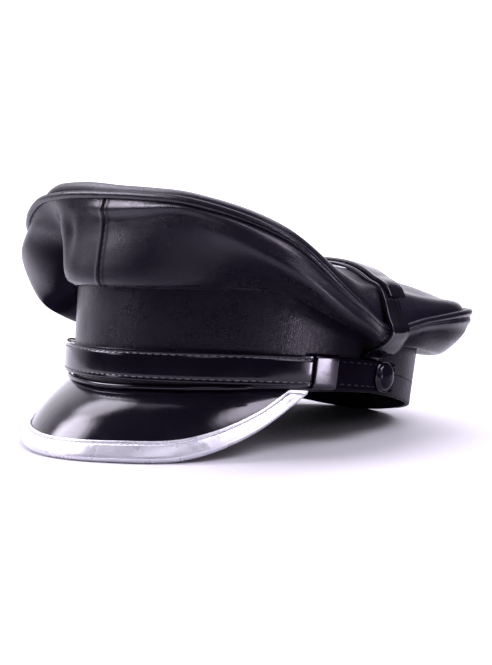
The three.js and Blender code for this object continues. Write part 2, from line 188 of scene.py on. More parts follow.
def curve(keys, values, at, period=0.0):
    """Smooth curve through values at rising keys. With a period, it closes on itself."""
    k = np.asarray(keys, float)
    v = np.asarray(values, float)
    x = np.asarray(at, float)
    if period:
        x = k[0] + np.mod(x - k[0], period)
        k = np.concatenate(([k[-1] - period], k, [k[0] + period, k[1] + period]))
        v = np.concatenate((v[-1:], v, v[:2]))
    step = np.diff(k)
    slope = np.diff(v) / step
    middle = (slope[:-1] * step[1:] + slope[1:] * step[:-1]) / (step[:-1] + step[1:])
    tangent = np.concatenate((slope[:1], middle, slope[-1:]))
    i = np.clip(np.searchsorted(k, x, side="right") - 1, 0, len(k) - 2)
    t = (x - k[i]) / step[i]
    return between(t, v[i], tangent[i] * step[i], v[i + 1], tangent[i + 1] * step[i])


def mirrored(table, column, angle, period=0.0):
    """The same curve for a table that holds one half of something alike on both sides"""
    rows = [(a, v) for a, v in zip(table["angle"], table[column])]
    others = [(-a, v) for a, v in reversed(rows) if 0 < a < 180]
    keys, values = zip(*(others + rows))
    return curve(keys, values, angle, period)


def smoothstep(x, start, end):
    t = np.clip((np.asarray(x, float) - start) / (end - start), 0, 1)
    return t * t * (3 - 2 * t)


def lerp(a, b, t):
    return a + (b - a) * t


def bump(x, middle, width):
    """Soft hump of height 1"""
    return np.exp(-(((x - middle) / width) ** 2))


def all_round(count):
    """Angles all round the cap, as a column"""
    return np.linspace(0, 360, count, endpoint=False)[:, None]


def full_turn(count):
    """Angles of a round section, in radians"""
    return np.linspace(0, 2 * np.pi, count, endpoint=False)


def rim_up(angle):
    return mirrored(RIM, "up", angle, 360)


def band_top(angle):
    return mirrored(RIM, "top", angle, 360)


def beside(angle, out, up):
    """Points beside the band: angle round it, distance out from it, height above the rim's plane"""
    angle, out, up = np.broadcast_arrays(np.radians(angle), out, up)
    grown = 1 + BAND["flare"] * np.clip(up, 0, 60)
    across = np.stack((np.cos(angle) / BAND["half_length"], np.sin(angle) / BAND["half_width"]), -1)
    across /= np.linalg.norm(across, axis=-1, keepdims=True)
    return np.stack((
        BAND["half_length"] * grown * np.cos(angle) + across[..., 0] * out,
        BAND["half_width"] * grown * np.sin(angle) + across[..., 1] * out,
        up,
    ), -1)


def rest(points):
    """Lays points of the upright cap down as the cap rests, in metres, flat where it meets the floor."""
    x, y, z = np.moveaxis(np.asarray(points, float), -1, 0)
    down = np.maximum(0, x * math.sin(PITCH) + z * math.cos(PITCH) + LIFT)
    ahead = x * math.cos(PITCH) - z * math.sin(PITCH) + CENTRING[0]
    return np.stack((ahead, y + CENTRING[1], down), -1) * MM


def unit(vectors):
    return vectors / np.maximum(np.linalg.norm(vectors, axis=-1, keepdims=True), 1e-9)


def grid_normals(points):
    """Normals of a grid of points, to the left of its rows as they run across"""
    return unit(np.cross(np.gradient(points, axis=0), np.gradient(points, axis=1)))


def in_scene(name, data):
    """New object of a mesh, lamp or camera"""
    made = bpy.data.objects.new(name, data)
    bpy.context.scene.collection.objects.link(made)
    return made


def piece(name, points, faces, material, painted_shade=None):
    """Object of a closed mesh, faces out. Painted shade, 0 to 1 a point, takes the shine off to darken
    hollows and shaded places.
    """
    mesh = bpy.data.meshes.new(name)
    mesh.from_pydata(points.tolist(), [], faces)
    if painted_shade is not None:
        kept = mesh.attributes.new("painted_shade", "FLOAT", "POINT")
        kept.data.foreach_set("value", painted_shade.astype(np.float32).ravel())
    built = bmesh.new()
    built.from_mesh(mesh)
    bmesh.ops.remove_doubles(built, verts=built.verts, dist=1e-7)
    if built.calc_volume(signed=True) < 0:
        bmesh.ops.reverse_faces(built, faces=built.faces)
    built.to_mesh(mesh)
    built.free()
    mesh.shade_smooth()
    mesh.set_sharp_from_angle(angle=math.radians(42))
    mesh.materials.append(material)
    return in_scene(name, mesh)


def swept(name, rings, material, closed=False, painted_shade=None):
    """Piece through rings of upright points, each ring one closed section"""
    stations, around = rings.shape[:2]
    if painted_shade is not None:
        painted_shade = np.broadcast_to(painted_shade, (stations, around))
    i = np.arange(stations if closed else stations - 1)[:, None] * around
    j = np.arange(around)[None, :]
    ahead = (i + around) % (stations * around)
    beyond = (j + 1) % around
    quads = np.stack((i + j, i + beyond, ahead + beyond, ahead + j), -1).reshape(-1, 4).tolist()
    if not closed:
        quads.append(list(range(around))[::-1])
        quads.append(list(range((stations - 1) * around, stations * around)))
    return piece(name, rest(rings).reshape(-1, 3), quads, material, painted_shade)


def dressed(shape, slot, *nodes):
    """A piece that stands for solids and rides with the cap, the named solids hidden; its slot is not
    used
    """
    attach(shape, "root")
    if nodes:
        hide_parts(*nodes)
    return shape


def rounded(width, thickness, radius, dome, channels=(), depth=0.0, fine=0.5):
    """Section of a strap as (side, raised): rounded edges, a domed face and channels along it"""
    half = width / 2
    turn = np.linspace(0, np.pi / 2, 5)
    near = radius * (1 - np.cos(turn))
    far = radius * (1 - np.sin(turn))
    side = np.arange(-half + radius, half - radius + fine / 2, fine)
    face = thickness + dome * (1 - (side / half) ** 2)
    for place in channels:
        face = face - depth * bump(side, place, 0.45)
    up_left = np.stack((-half + near, thickness - far), -1)
    down_right = np.stack((half - far, thickness - near), -1)
    top = np.stack((side, face), -1)
    back = np.array(((half, 0.0), (-half, 0.0)))
    return np.concatenate((up_left[:-1], top, down_right[1:], back))


# Node trees of the materials

def new_material(name):
    material = bpy.data.materials.new(name)
    material.use_nodes = True
    tree = material.node_tree
    return material, tree, next(node for node in tree.nodes if node.type == "BSDF_PRINCIPLED")


def feed(tree, node, **inputs):
    """Sets a node's inputs to values, or links them from other sockets."""
    for key, value in inputs.items():
        socket = node.inputs[key.replace("_", " ")]
        if isinstance(value, bpy.types.NodeSocket):
            tree.links.new(value, socket)
        else:
            socket.default_value = value
    return node


def add_node(tree, kind, **inputs):
    return feed(tree, tree.nodes.new(kind), **inputs)


def object_place(tree):
    return tree.nodes.new("ShaderNodeTexCoord").outputs["Object"]


def noise(tree, scale, detail=2.0, roughness=0.5):
    made = add_node(
        tree, "ShaderNodeTexNoise",
        Vector=object_place(tree), Scale=scale, Detail=detail, Roughness=roughness,
    )
    return made.outputs["Fac"]


def spread(tree, value, low, high, start=0.3, end=0.7):
    """Maps a pattern between start and end to values between low and high."""
    made = add_node(
        tree, "ShaderNodeMapRange", Value=value, From_Min=start, From_Max=end, To_Min=low, To_Max=high,
    )
    return made.outputs["Result"]


def mix_colours(tree, factor, first, second):
    """Colour between two, by a pattern"""
    made = tree.nodes.new("ShaderNodeMix")
    made.data_type = "RGBA"
    tree.links.new(factor, made.inputs["Factor"])
    made.inputs[6].default_value = (*first, 1)
    made.inputs[7].default_value = (*second, 1)
    return made.outputs[2]


def raised_by(tree, height, strength, distance, under=None):
    """Normals of a surface raised by a pattern, over another's if one is given"""
    made = add_node(tree, "ShaderNodeBump", Height=height, Strength=strength, Distance=distance)
    if under is not None:
        feed(tree, made, Normal=under)
    return made.outputs["Normal"]


def shine(tree, most):
    """Strength of a gloss, less where a piece's points carry painted shade"""
    mark = tree.nodes.new("ShaderNodeAttribute")
    mark.attribute_name = "painted_shade"
    return spread(tree, mark.outputs["Fac"], most, 0.0, 0.0, 1.0)


def smooth_leather(name, most_shine, roughness):
    """Black leather: fine pebbled grain, soft unevenness, broad patches of sheen"""
    material, tree, shader = new_material(name)
    pebbles = add_node(tree, "ShaderNodeTexVoronoi", Vector=object_place(tree), Scale=1050.0)
    pebbles.feature = "DISTANCE_TO_EDGE"
    pebble_height = spread(tree, pebbles.outputs["Distance"], 0.0, 1.0, 0.0, 0.35)
    pores = raised_by(tree, noise(tree, 2600.0, 3.0), strength=0.25, distance=0.00006)
    grain = raised_by(tree, pebble_height, strength=0.48, distance=0.00010, under=pores)
    hide = raised_by(tree, noise(tree, 140.0, 3.0, 0.6), strength=0.30, distance=0.0005, under=grain)
    black, worn = (0.0060, 0.0047, 0.0095), (0.0110, 0.0088, 0.0160)
    feed(
        tree, shader,
        Normal=hide,
        Base_Color=mix_colours(tree, noise(tree, 32.0, 4.0), black, worn),
        Roughness=spread(tree, noise(tree, 55.0, 4.0), *roughness),
        Specular_IOR_Level=shine(tree, most_shine),
        Specular_Tint=(0.94, 0.88, 1.0, 1),
    )
    return material


def patent_leather():
    """Black patent leather: a deep gloss coat with a faint orange-peel surface"""
    material, tree, shader = new_material("patent_leather")
    peel = raised_by(tree, noise(tree, 420.0, 2.0), strength=0.10, distance=0.00012)
    waves = raised_by(tree, noise(tree, 70.0, 2.0), strength=0.22, distance=0.0006, under=peel)
    black, dusty = (0.0036, 0.0027, 0.0058), (0.0060, 0.0047, 0.0090)
    feed(
        tree, shader,
        Normal=waves,
        Base_Color=mix_colours(tree, noise(tree, 60.0, 3.0), black, dusty),
        Roughness=spread(tree, noise(tree, 120.0, 4.0), 0.10, 0.17),
        Specular_IOR_Level=shine(tree, 0.32),
        Specular_Tint=(0.94, 0.89, 1.0, 1),
        Coat_Weight=shine(tree, 0.1),
        Coat_Roughness=0.05,
    )
    return material


def silver_leather():
    """Metallic silver coated leather, crinkled where it is folded over the peak's edge"""
    material, tree, shader = new_material("silver_leather")
    grain = raised_by(tree, noise(tree, 1500.0, 3.0), strength=0.30, distance=0.00008)
    crinkles = raised_by(tree, noise(tree, 190.0, 3.0, 0.6), strength=0.45, distance=0.0005, under=grain)
    feed(
        tree, shader,
        Normal=crinkles,
        Base_Color=mix_colours(tree, noise(tree, 90.0, 4.0), (0.60, 0.59, 0.66), (0.76, 0.75, 0.81)),
        Roughness=spread(tree, noise(tree, 160.0, 4.0), 0.24, 0.38),
        Metallic=0.6,
    )
    return material


def thread(name, dark, light, roughness, gloss):
    """Sewing thread, with the fine ribs of its twist"""
    material, tree, shader = new_material(name)
    twist = add_node(tree, "ShaderNodeTexWave", Vector=object_place(tree), Scale=900.0, Distortion=2.0)
    feed(
        tree, shader,
        Normal=raised_by(tree, twist.outputs["Fac"], strength=0.35, distance=0.00005),
        Base_Color=mix_colours(tree, noise(tree, 700.0), dark, light),
        Roughness=roughness,
        Specular_IOR_Level=gloss,
    )
    return material


leather = smooth_leather("smooth_leather", most_shine=0.29, roughness=(0.24, 0.35))
rubbed_leather = smooth_leather("rubbed_leather", most_shine=0.34, roughness=(0.17, 0.25))
patent = patent_leather()
silver = silver_leather()
black_thread = thread(
    "black_thread", dark=(0.010, 0.009, 0.013), light=(0.022, 0.020, 0.027), roughness=0.4, gloss=0.12,
)
# Thread for the outer strap's rows, its lighter colour a painted glint on the same black thread
glint_painted_thread = thread(
    "glint_painted_thread", dark=(0.05, 0.046, 0.06), light=(0.12, 0.11, 0.14), roughness=0.25, gloss=0.6,
)
silver_thread = thread(
    "silver_thread", dark=(0.50, 0.49, 0.54), light=(0.72, 0.71, 0.76), roughness=0.35, gloss=0.35,
)


# Crown

def crown_point(line, angle):
    """Out and up of a crown line at angles"""
    return np.stack([curve(CROWN[:, 0], CROWN[:, line + k], angle, 360) for k in (0, 1)], -1)


def crown_edge(angle):
    return beside(angle, *np.moveaxis(crown_point(EDGE, angle), -1, 0))


def side_lines(angle, along):
    """Outer lines of the crown's side, out and up: along is 0 at the edge, 1 belly, 2 tuck, 3 band"""
    foot = np.stack((np.full(angle.shape, GAP), band_top(angle) + GAP), -1)
    stops = np.stack([crown_point(line, angle) for line in (EDGE, BELLY, TUCK)] + [foot])
    first, last = stops[1:2] - stops[:1], stops[3:] - stops[2:3]
    slopes = np.concatenate((first, (stops[2:] - stops[:-2]) / 2, last))
    i = np.clip(along.astype(int), 0, 2)
    t = (along - i)[:, None, None]
    return np.swapaxes(between(t, stops[i], slopes[i], stops[i + 1], slopes[i + 1]), 0, 1)


def side_points(angle, lines):
    return beside(angle[:, None], lines[..., 0], lines[..., 1])


def inner_lines(lines):
    """Lines moved in by the leather's thickness"""
    way = unit(np.gradient(lines, axis=1))
    return lines + LEATHER * np.stack((way[..., 1], -way[..., 0]), -1)


def side_relief(angle, along):
    """Height of ridges, folds and seams over the crown's side, in millimetres"""
    a, s = np.meshgrid(angle, along, indexing="ij")
    under_piping = lerp(0.43, 0.36, smoothstep(a, 10, 30))
    relief = (0.3 + 1.4 * smoothstep(a, -9, 0)) * bump(s, under_piping, 0.2)
    ledge = 1.0 * bump(s, 2.72, 0.16)
    front_swelling = 1.2 * bump(s, 2.4, 0.3) * smoothstep(a, -30, -15) * smoothstep(-a, -40, -20)
    relief += ledge + front_swelling
    for out, middle, width, down, length in SIDE_FOLDS:
        relief += out * bump(a, middle, width) * bump(s, down, length)
    from_seam = np.minimum(np.abs(a), np.abs(180 - np.abs(a))) * MM_A_DEGREE
    relief += 0.4 * bump(from_seam, 1.9, 1.2) - 0.8 * bump(from_seam, 0, 0.5)
    return relief


def side_painted_shade(angle, along):
    """Painted shade on the crown's side, taking the shine off the deep fold, the front's middle and the
    back
    """
    a, s = np.meshgrid(angle, along, indexing="ij")
    fold = bump(a, -37, 5.5) * smoothstep(s, 0.8, 1.3)
    fold += smoothstep(-a, 27, 33) * smoothstep(a, -75, -60) * smoothstep(s, 1.35, 1.9)
    middle = 0.6 * smoothstep(a, 2, 14) * smoothstep(-a, -62, -44) * bump(s, 1.6, 0.55)
    back = 0.9 * smoothstep(a, 60, 75) * smoothstep(s, 0.4, 0.9)
    back *= 1 - smoothstep(a, 98, 112) * smoothstep(s, 1.1, 1.7)
    return np.clip(fold + middle + back, 0, 1)


def unevenness(points, seed, size, height):
    """Soft unevenness over points: a fixed sum of waves of about a size"""
    draws = np.random.default_rng(seed)
    total = np.zeros(points.shape[:-1])
    for _ in range(14):
        way = unit(draws.normal(size=3))
        length = size * draws.uniform(0.6, 1.7)
        total += np.sin(points @ way * 2 * np.pi / length + draws.uniform(0, 2 * np.pi))
    return height * total / math.sqrt(14)


def crown_side(name, start, end):
    """Side panel of the crown, finer near its seams, its walls moved in and out together"""
    near_seam = 4.0
    angle = np.unique(np.concatenate((
        np.linspace(start, start + near_seam, 18),
        np.linspace(start + near_seam, end - near_seam, 290),
        np.linspace(end - near_seam, end, 18),
    )))
    under_piping = 0.04
    along = np.linspace(under_piping, 3, 84)
    lines = side_lines(angle, along)
    outer = side_points(angle, lines)
    inner = side_points(angle, inner_lines(lines))
    relief = side_relief(angle, along) + unevenness(outer, **SIDE_UNEVENNESS)
    moved = -grid_normals(outer) * relief[..., None]
    rings = np.concatenate((outer + moved, (inner + moved)[:, ::-1]), 1)
    painted_shade = side_painted_shade(angle, along)
    return swept(name, rings, leather, painted_shade=np.concatenate((painted_shade, painted_shade[:, ::-1]), 1))


def crown_piping():
    """Round piping along the crown's edge, its shine taken off its upper side as painted shade"""
    angle = all_round(540)
    turn = full_turn(18)
    middle = crown_point(EDGE, angle)
    rings = beside(
        angle,
        middle[..., 0] + PIPING_RADIUS * np.cos(turn),
        middle[..., 1] + PIPING_RADIUS * np.sin(turn),
    )
    painted_shade = 0.9 * smoothstep(np.sin(turn), 0.24, 0.42)
    return swept("edge_piping", rings, rubbed_leather, closed=True, painted_shade=painted_shade)


def top_points(angle, share):
    """Upper face of the top panel: share 0 at its middle, 1 at the piping"""
    edge = crown_edge(angle)
    reach = np.linalg.norm((edge - TOP_MIDDLE)[..., :2], axis=-1)
    inset = (1 - share) * reach
    roll = curve(TOP["angle"], TOP["roll"], angle, 360) * bump(inset, ROLL["inset"], ROLL["width"])
    fullness = curve(TOP["angle"], TOP["fullness"], angle, 360)
    points = lerp(TOP_MIDDLE, edge, share[..., None])
    points[..., 2] = lerp(TOP_MIDDLE[2], edge[..., 2], share ** fullness) + roll
    return points


def top_panel():
    """Top of the crown, finer towards its edge, with a groove between its roll and the piping"""
    last_share = 0.985
    shares = last_share * (1 - np.linspace(1, 0, 56) ** 1.5)
    angle, share = np.broadcast_arrays(all_round(420), shares)
    upper = top_points(angle, share)
    upper[..., 2] += unevenness(upper, **TOP_UNEVENNESS) * smoothstep(1 - share, 0.0, 0.2)
    inset = (1 - share) * np.linalg.norm(upper[:, -1:, :2], axis=-1)
    upper[..., 2] -= TOP_GROOVE["depth"] * bump(inset, TOP_GROOVE["inset"], TOP_GROOVE["width"])
    lower = upper - np.array((0, 0, LEATHER))
    # Painted shade: the shine is taken off the groove beside the piping and off a patch near the crown
    # strap
    painted_shade = smoothstep(share, 0.959, 0.968)
    painted_shade = np.maximum(painted_shade, 0.7 * bump(angle, 72, 14) * bump(share, 0.72, 0.2))
    painted_shade = np.concatenate((painted_shade, painted_shade[:, ::-1]), 1)
    rings = np.concatenate((upper, lower[:, ::-1]), 1)
    return swept("top_panel", rings, leather, closed=True, painted_shade=painted_shade)


# Band

def hoop_section(height, wall, low, high):
    """Section of the band as (out, up from its foot), its edges rounded by the radii low and high"""
    turn = np.linspace(0, np.pi / 2, 6)
    face = np.stack((np.zeros(12), np.linspace(low, height - high, 12)), -1)
    over = np.stack((-high + high * np.cos(turn), height - high + high * np.sin(turn)), -1)
    back_over = np.stack((-wall + high * (1 - np.sin(turn)), height - high + high * np.cos(turn)), -1)
    back = np.stack((np.full(12, -wall), np.linspace(height - high, low, 12)), -1)
    under = np.stack((-wall + low * (1 - np.cos(turn)), low - low * np.sin(turn)), -1)
    front_under = np.stack((-low + low * np.sin(turn), low - low * np.cos(turn)), -1)
    return np.concatenate((face, over[1:], back_over[1:], back[1:], under[1:], front_under[1:-1]))


def band_painted_shade(angle):
    """Painted shade on the band: most of its shine taken off the sides and the back, some off the front
    on the wearer's right.
    """
    sides = 0.95 * smoothstep(np.abs(180 - angle), 122, 104)
    return np.maximum(sides, 0.4 * smoothstep(angle, 325, 342) * smoothstep(-angle, -352, -342))


def band():
    angle = all_round(360)
    foot = rim_up(angle) + BINDING_HEIGHT + GAP / 2
    section = hoop_section(1, BAND["wall"], 0, 0)
    height = band_top(angle) - foot
    rings = beside(angle, section[:, 0], foot + section[:, 1] * height)
    return swept("band_panel", rings, leather, closed=True, painted_shade=band_painted_shade(angle))


def rim_binding():
    angle = all_round(360)
    section = hoop_section(BINDING_HEIGHT, BAND["wall"], 1.1, 0.3)
    rings = beside(angle, section[:, 0], rim_up(angle) + section[:, 1])
    return swept("rim_strip", rings, leather, closed=True, painted_shade=band_painted_shade(angle))


# Peak

def peak_lines(angle, places):
    """Lines down the peak. places is [..., 2]: distance from the rim, height off its face"""
    reach = mirrored(PEAK, "reach", angle)[:, None]
    drop = mirrored(PEAK, "drop", angle)[:, None] + PEAK_SHEET["root_up"]
    length = np.hypot(reach, drop)
    rim = rim_up(angle)[:, None] + PEAK_SHEET["root_up"]

    def at(share):
        full = PEAK_SHEET["camber"] * np.sin(np.pi * np.clip(share, 0, 1))
        return np.stack((GAP + reach * share + full * drop, rim - drop * share + full * reach), -1)

    share = places[..., 0] / length
    way = unit(at(share + 0.02) - at(share - 0.02))
    spot = at(share)
    out = np.maximum(GAP, spot[..., 0] - way[..., 1] * places[..., 1])
    return beside(angle[:, None], out, spot[..., 1] + way[..., 0] * places[..., 1])


def peak_lengths(angle):
    """Straight length of the peak from the rim to its edge"""
    return np.hypot(mirrored(PEAK, "reach", angle), mirrored(PEAK, "drop", angle) + PEAK_SHEET["root_up"])


def peak():
    angle = np.linspace(-PEAK_SHEET["end"], PEAK_SHEET["end"], 250)
    down = np.linspace(0, 1, 48) * (peak_lengths(angle)[:, None] - TRIM["wall"] - GAP)
    rings = np.concatenate((
        peak_lines(angle, np.stack((down, np.zeros_like(down)), -1)),
        peak_lines(angle, np.stack((down, np.full_like(down, -PEAK_SHEET["thickness"])), -1))[:, ::-1],
    ), 1)
    return swept("peak_shell", rings, patent)


def trim_section(length):
    """Closed section of the peak's binding as (distance from the rim, height off the peak's face)"""
    upper = GAP + TRIM["wall"]
    under = -PEAK_SHEET["thickness"] - upper
    start = max(length - TRIM["width"], TRIM["wall"])
    start_under = max(length - TRIM["width"], min(length - TRIM["least"], TRIM["under_from"]))
    middle = (upper + under) / 2
    radius = (upper - under) / 2
    bend = np.linspace(np.pi / 2, -np.pi / 2, 17)
    tuck = radius * 0.55
    fold = np.stack((length - tuck + tuck * np.cos(bend), middle + radius * np.sin(bend)), -1)
    run = np.linspace(start, length - tuck, 26)[:-1]
    swell = 0.35 * np.sin(np.pi * (run - start) / (length - tuck - start)) ** 0.5
    channel = 0.45 * bump(run, start + TRIM["stitch_inset"], 0.5)
    lip = np.array(((start - 0.05, upper - 0.75), (start, upper - 0.3), (start + 0.12, upper - 0.08)))
    top = np.stack((run[1:], upper + (swell - channel)[1:]), -1)
    run_under = np.linspace(length - tuck, start_under, 12)[1:]
    bottom = np.stack((run_under, np.full(11, under)), -1)
    inner_edge = max(length - TRIM["wall"], start_under)
    inner = np.array((
        (start_under, under + TRIM["wall"]),
        (inner_edge, under + TRIM["wall"]),
        (inner_edge, upper - TRIM["wall"]),
        (start, upper - TRIM["wall"]),
    ))
    return np.concatenate((lip, top, fold, bottom, inner))


def peak_binding():
    angle = np.linspace(-PEAK_SHEET["end"], PEAK_SHEET["end"], 300)
    sections = np.stack([trim_section(length) for length in peak_lengths(angle)])
    return swept("peak_binding", peak_lines(angle, sections), silver)


def peak_welt():
    angle = np.linspace(WELT["start"], WELT["end"], 160)[:, None]
    turn = full_turn(14)
    ends = np.minimum(angle - WELT["start"], WELT["end"] - angle)
    radius = WELT["radius"] * (0.35 + 0.65 * smoothstep(ends, 0, 3))
    rings = beside(
        angle,
        WELT["out"] + radius * np.cos(turn),
        rim_up(angle) + WELT["up"] + radius * np.sin(turn),
    )
    return swept("welt_cord", rings, patent)


# Chin straps

def strap_up(angle):
    return lerp(STRAP["up_at_front"], STRAP["up_at_sides"], np.sin(np.radians(angle)) ** 2)


def on_band(angle):
    return GAP + (LEATHER + GAP) * smoothstep(np.abs(angle), *STRAPS_STEP_OUT)


def on_inner_strap(angle):
    raised = lerp(GAP, 2 * GAP + LEATHER, smoothstep(angle, *OUTER_STEPS_UP))
    return np.where(angle < OUTER_STEPS_UP[0], on_band(angle), raised)


def tapered(angle, start, end, section):
    """Section at each angle, drawn in a little at both ends so that they are rounded"""
    from_end = np.minimum(angle - start, end - angle)
    short = 0.5 * np.clip(1 - from_end / STRAP_ENDS_ROUNDED, 0, 1) ** 2
    half = np.abs(section[:, 0]).max()
    middle = LEATHER / 2
    side = section[:, 0] * (1 - short / half)
    raised = middle + (section[:, 1] - middle) * (1 - short / middle * 0.8)
    return side, raised


def strap_angles(start, end):
    """Angles along a strap, finer at its rounded ends"""
    near_start, near_end = start + STRAP_ENDS_ROUNDED, end - STRAP_ENDS_ROUNDED
    return np.unique(np.concatenate((
        np.linspace(start, near_start, 5),
        np.linspace(near_start, near_end, 260),
        np.linspace(near_end, end, 5),
    )))[:, None]


def chin_strap(name, start, end, out):
    """Strap round the band with a channel for each row of stitches, its shine taken off beyond the left
    loop as painted shade
    """
    row = STRAP["width"] / 2 - STRAP["stitch_inset"]
    section = rounded(STRAP["width"], LEATHER, 0.6, dome=0.25, channels=(-row, row), depth=0.3)
    angle = strap_angles(start, end)
    side, raised = tapered(angle, start, end, section)
    rings = beside(angle, out(angle) + raised, strap_up(angle) + side)
    return swept(name, rings, patent, painted_shade=smoothstep(angle, 72, 75))


def keeper(name, angle, width):
    """Flat loop over both straps, its ends at the band"""
    top = STRAP["width"] / 2 + GAP
    over = 3 * GAP + 2 * LEATHER
    radius = KEEPER["radius"]
    turn = np.linspace(0, np.pi / 2, 6)
    upper = np.stack((over - radius + radius * np.sin(turn), top - radius + radius * np.cos(turn)), -1)
    lower = np.stack((over - radius + radius * np.cos(turn), -top + radius - radius * np.sin(turn)), -1)
    path = np.concatenate((
        np.stack((np.linspace(GAP, over - radius, 5)[:-1], np.full(4, top)), -1),
        upper,
        np.stack((np.full(10, over), np.linspace(top - radius, -top + radius, 12)[1:-1]), -1),
        lower,
        np.stack((np.linspace(over - radius, GAP, 5)[1:], np.full(4, -top)), -1),
    ))
    way = unit(np.gradient(path, axis=0))
    away = np.stack((-way[:, 1], way[:, 0]), -1)
    section = rounded(width, KEEPER["wall"], 0.35, dome=0.12, fine=0.8)
    turned = np.degrees(section[:, 0] / BAND["half_length"])
    lifted = path[:, None, :] + away[:, None, :] * section[None, :, 1:2]
    spots = angle + turned[None, :]
    rings = beside(spots, lifted[..., 0], strap_up(spots) + lifted[..., 1])
    return swept(name, rings, patent)


def button(name, angle):
    """Domed button with a thin rim, its back on the straps"""
    radius = BUTTON["radius"]
    height = BUTTON["height"]
    turn = np.linspace(0, np.pi / 2, 12)
    rim_height = 0.95
    rim = [(0, 0), (0.96, 0), (1, 0.25), (1, 0.75), (0.965, 0.98), (0.93, 0.92), (0.905, 0.85)]
    dome = np.stack((0.88 * np.cos(turn), rim_height + (height - rim_height) * np.sin(turn)), -1)
    profile = np.concatenate((rim, dome)) * (radius, 1)
    back = 4 * GAP + 2 * LEATHER
    seat = beside(angle, back, strap_up(angle))
    facing = unit(beside(angle, back + 1, strap_up(angle)) - seat)
    level = unit(np.cross((0, 0, 1), facing))
    upward = np.cross(facing, level)
    turn = full_turn(48)[:, None]
    across, high = profile[:, 0], profile[:, 1]
    rings = (
        seat
        + level * (np.cos(turn) * across)[..., None]
        + upward * (np.sin(turn) * across)[..., None]
        + facing * (np.ones_like(turn) * high)[..., None]
    )
    # Painted shade: the shine is taken off the dome inside the rim
    painted_shade = 0.9 * smoothstep(-across, -0.86 * radius, -0.7 * radius)
    return swept(name, rings, patent, closed=True, painted_shade=painted_shade)


# Crown strap

def top_height(x, y):
    """Height of the top panel over points in plan"""
    angle = np.linspace(-180, 180, 2881)
    edge = crown_edge(angle)
    heading = np.arctan2(edge[:, 1], edge[:, 0])
    order = np.argsort(heading)
    facing = np.interp(np.arctan2(y, x), heading[order], angle[order])
    reach = np.linalg.norm(crown_edge(facing)[..., :2], axis=-1)
    return top_points(facing, np.hypot(x, y) / reach)[..., 2]


def strap_path(side, past_middle, lift):
    """Rows of points across half of the crown strap, from its button past the middle, and their lifts"""
    place = np.linspace(-1, 1, 9)
    low = side * (CROWN_STRAP["low_angle"] + place * CROWN_STRAP["spread"])
    high = side * (CROWN_STRAP["angle"] + place * CROWN_STRAP["spread"])
    rows = [beside(low, GAP, strap_up(low) + up) for up in (-2, STRAP["width"] / 2 + 2)]
    for line, share, out, up, turned in CROWN_STRAP_FOLDS:
        point = crown_point(line, high)
        rows.append(beside(lerp(low, high, turned), point[..., 0] * share + out, point[..., 1] + up))
    lifts = [0.0] * len(rows)
    crossing = crown_edge(np.array(side * float(CROWN_STRAP["angle"])))
    wide = abs(crossing[1])
    for across in np.linspace(wide - CROWN_STRAP["inset"], -past_middle, 60):
        middle = crossing[0] * np.clip(across / wide, 0, 1)
        x = middle - place * CROWN_STRAP["width"] / 2
        y = np.full_like(x, side * across)
        rows.append(np.stack((x, y, top_height(x, y)), -1))
        lifts.append(float(lift(across)))
    return np.stack(rows), np.array(lifts)


def refined(rows, lifts):
    """The same rows, closer together along a smooth curve"""
    step = 1.2
    centre = rows[:, rows.shape[1] // 2]
    along = np.concatenate(([0], np.cumsum(np.linalg.norm(np.diff(centre, axis=0), axis=1))))
    keep = np.concatenate(([True], np.diff(along) > 0.4))
    rows, lifts, along = rows[keep], lifts[keep], along[keep]
    finer = np.linspace(0, along[-1], int(along[-1] / step))
    fine = np.stack([
        np.stack([curve(along, rows[:, j, k], finer) for k in range(3)], -1) for j in range(rows.shape[1])
    ], 1)
    return fine, curve(along, lifts, finer)


def crown_strap(name, side, past_middle, lift):
    """Half of the crown strap, its section laid across the rows of its path"""
    rows, lifts = refined(*strap_path(side, past_middle, lift))
    away = grid_normals(rows) * -side
    channel = CROWN_STRAP["width"] / 2 - CROWN_STRAP["channel_inset"]
    section = rounded(
        CROWN_STRAP["width"], CROWN_STRAP["thickness"], 0.5,
        dome=0.2, channels=(-channel, channel), depth=0.22,
    )
    column = (section[:, 0] / CROWN_STRAP["width"] + 0.5) * (rows.shape[1] - 1)
    first = np.clip(column.astype(int), 0, rows.shape[1] - 2)
    part = (column - first)[None, :, None]
    spots = rows[:, first] * (1 - part) + rows[:, first + 1] * part
    normals = unit(away[:, first] * (1 - part) + away[:, first + 1] * part)
    raised = section[None, :, 1] + lifts[:, None]
    return swept(name, spots + normals * raised[..., None], patent)


# Stitches

